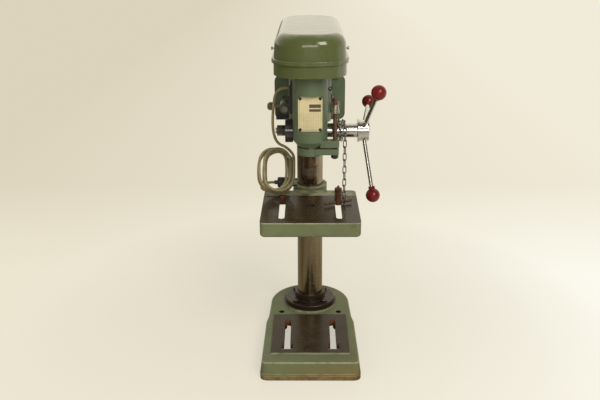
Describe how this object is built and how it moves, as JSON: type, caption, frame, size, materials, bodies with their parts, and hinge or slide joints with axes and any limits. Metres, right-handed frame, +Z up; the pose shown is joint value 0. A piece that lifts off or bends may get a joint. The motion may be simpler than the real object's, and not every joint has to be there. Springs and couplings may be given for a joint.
{
  "type": "bench drill press",
  "caption": "Belt-driven bench drill press with a round column, slotted table, geared quill feed with ball-ended arms, hinged belt cover and keyed chuck.",
  "frame": {"origin": "on the column's axis, level with the underside of the base", "axes": "+Z up, -Y towards the operator, +X to the operator's right, where the feed arms are"},
  "size_m": [0.3092, 0.595, 0.839],
  "materials": {
    "green_paint": "satin grey-green casting paint, worn",
    "cover_paint": "glossy olive green enamel",
    "bare_column": "bare ground steel with brown stain",
    "rusty_iron": "dark oily iron with light rust",
    "dark_steel": "blackened steel, worn bright at the edges",
    "bright_steel": "turned bright steel",
    "chrome": "polished chrome",
    "maroon": "glossy maroon phenolic",
    "plate_cream": "bare cream-lacquered aluminium",
    "black_iron": "black enamel, worn",
    "pulley_alloy": "cast aluminium",
    "belt_rubber": "black rubber",
    "flex": "grey-beige flexible lead",
    "black_plastic": "black moulded plastic",
    "brown_plastic": "brown phenolic",
    "brass": "dulled brass"
  },
  "bodies": {
    "stand": {"base": "green_paint", "column_flange": "rusty_iron", "flange_bolts": "rusty_iron", "column": "bare_column", "head_casting": "green_paint", "head_clamp_bolts": "dark_steel", "nameplate": "plate_cream", "nameplate_screws": "dark_steel", "feed_sleeve": "chrome", "spring_housing": "black_iron", "return_spring": "dark_steel", "sleeve_bearings": "bright_steel", "v_belt": "belt_rubber", "cover_pan": "cover_paint", "lid_hinge_pins": "bright_steel", "switch_box": "black_plastic", "cord_gland": "brown_plastic", "cord_lead": "flex", "cord_hank": "flex", "cord_tail": "flex", "mains_plug": "black_plastic", "key_chain": "bright_steel", "chain_anchor": "dark_steel", "chuck_key": "rusty_iron"},
    "table_lift": {"table_collar": "green_paint"},
    "table": {"table": "green_paint", "table_clamp_bolt": "dark_steel"},
    "clamp_lever": {"table_clamp_lever": "dark_steel"},
    "feed": {"pinion_shaft": "bright_steel", "feed_hub": "chrome", "feed_arms": "chrome", "feed_balls": "maroon", "spring_nuts": "black_iron"},
    "quill": {"quill": "bright_steel", "quill_bearings": "bright_steel", "stop_collar": "green_paint", "depth_rod": "rusty_iron", "depth_rod_nut": "dark_steel"},
    "stop_nut": {"depth_stop_nut": "brass"},
    "spindle": {"spindle": "bright_steel", "chuck_body": "dark_steel"},
    "chuck_sleeve": {"chuck_sleeve": "dark_steel"},
    "jaw_1": {"chuck_jaw_1": "dark_steel"},
    "jaw_2": {"chuck_jaw_2": "dark_steel"},
    "jaw_3": {"chuck_jaw_3": "dark_steel"},
    "spindle_drive": {"drive_sleeve": "bright_steel", "spindle_pulley": "pulley_alloy"},
    "motor_carriage": {"slide_bars": "bright_steel", "motor_plate": "green_paint", "motor_shell": "green_paint", "motor_end_bells": "green_paint", "motor_bolts": "dark_steel", "terminal_box": "black_plastic"},
    "motor_rotor": {"motor_shaft": "bright_steel", "motor_pulley": "pulley_alloy"},
    "tension_knob": {"tension_knob": "brown_plastic"},
    "lid": {"cover_lid": "cover_paint", "lid_grips": "bright_steel"},
    "toggle": {"switch_toggle": "black_plastic"}
  },
  "joints": [
    {"name": "table_height", "type": "slide", "parent": "stand", "child": "table_lift", "axis": [0, 0, 1], "range_m": [-0.2, 0]},
    {"name": "table_swing", "type": "hinge", "parent": "table_lift", "child": "table", "pos_m": [0, 0, 0.372], "axis": [0, 0, 1], "range_deg": [-90, 90]},
    {"name": "table_clamp", "type": "hinge", "parent": "table", "child": "clamp_lever", "pos_m": [0.0273, 0.061, 0.372], "axis": [1, 0, 0], "range_deg": [0, 150]},
    {"name": "feed_turn", "type": "hinge", "parent": "stand", "child": "feed", "pos_m": [0, -0.15, 0.598], "axis": [1, 0, 0], "range_deg": [0, 220], "stiffness_Nm_per_rad": 0.25, "springref_deg": -171.89},
    {"name": "quill_feed", "type": "slide", "parent": "stand", "child": "quill", "axis": [0, 0, -1], "range_m": [0, 0.052]},
    {"name": "depth_set", "type": "slide", "parent": "quill", "child": "stop_nut", "axis": [0, 0, 1], "range_m": [-0.06, 0.012]},
    {"name": "spindle_spin", "type": "hinge", "parent": "quill", "child": "spindle", "pos_m": [0, -0.185, 0.6], "axis": [0, 0, 1], "continuous": true},
    {"name": "chuck_turn", "type": "hinge", "parent": "spindle", "child": "chuck_sleeve", "pos_m": [0, -0.185, 0.504], "axis": [0, 0, 1], "range_deg": [0, 720]},
    {"name": "jaw_1_slide", "type": "slide", "parent": "spindle", "child": "jaw_1", "axis": [0.1504, 0.0868, 0.9848], "range_m": [0, 0.018]},
    {"name": "jaw_2_slide", "type": "slide", "parent": "spindle", "child": "jaw_2", "axis": [-0.1504, 0.0868, 0.9848], "range_m": [0, 0.018]},
    {"name": "jaw_3_slide", "type": "slide", "parent": "spindle", "child": "jaw_3", "axis": [0, -0.1736, 0.9848], "range_m": [0, 0.018]},
    {"name": "drive_spin", "type": "hinge", "parent": "stand", "child": "spindle_drive", "pos_m": [0, -0.185, 0.766], "axis": [0, 0, 1], "continuous": true},
    {"name": "belt_tension", "type": "slide", "parent": "stand", "child": "motor_carriage", "axis": [0, 1, 0], "range_m": [-0.01, 0]},
    {"name": "motor_spin", "type": "hinge", "parent": "motor_carriage", "child": "motor_rotor", "pos_m": [0, 0.188, 0.7], "axis": [0, 0, 1], "continuous": true},
    {"name": "tension_lock", "type": "hinge", "parent": "stand", "child": "tension_knob", "pos_m": [-0.105, 0.018, 0.622], "axis": [1, 0, 0], "range_deg": [0, 180]},
    {"name": "lid_hinge", "type": "hinge", "parent": "stand", "child": "lid", "pos_m": [0, 0.2595, 0.776], "axis": [-1, 0, 0], "range_deg": [0, 80]},
    {"name": "switch_throw", "type": "hinge", "parent": "stand", "child": "toggle", "pos_m": [-0.051, -0.108, 0.672], "axis": [0, 1, 0], "range_deg": [-15, 15]}
  ],
  "couplings": [
    {"joint": "quill_feed", "follows": "feed_turn", "m_per_rad": 0.0135},
    {"joint": "jaw_1_slide", "follows": "chuck_turn", "m_per_rad": 0.0014323},
    {"joint": "jaw_2_slide", "follows": "chuck_turn", "m_per_rad": 0.0014323},
    {"joint": "jaw_3_slide", "follows": "chuck_turn", "m_per_rad": 0.0014323},
    {"joint": "spindle_spin", "follows": "motor_spin", "ratio": 0.94366},
    {"joint": "drive_spin", "follows": "motor_spin", "ratio": 0.94366}
  ]
}
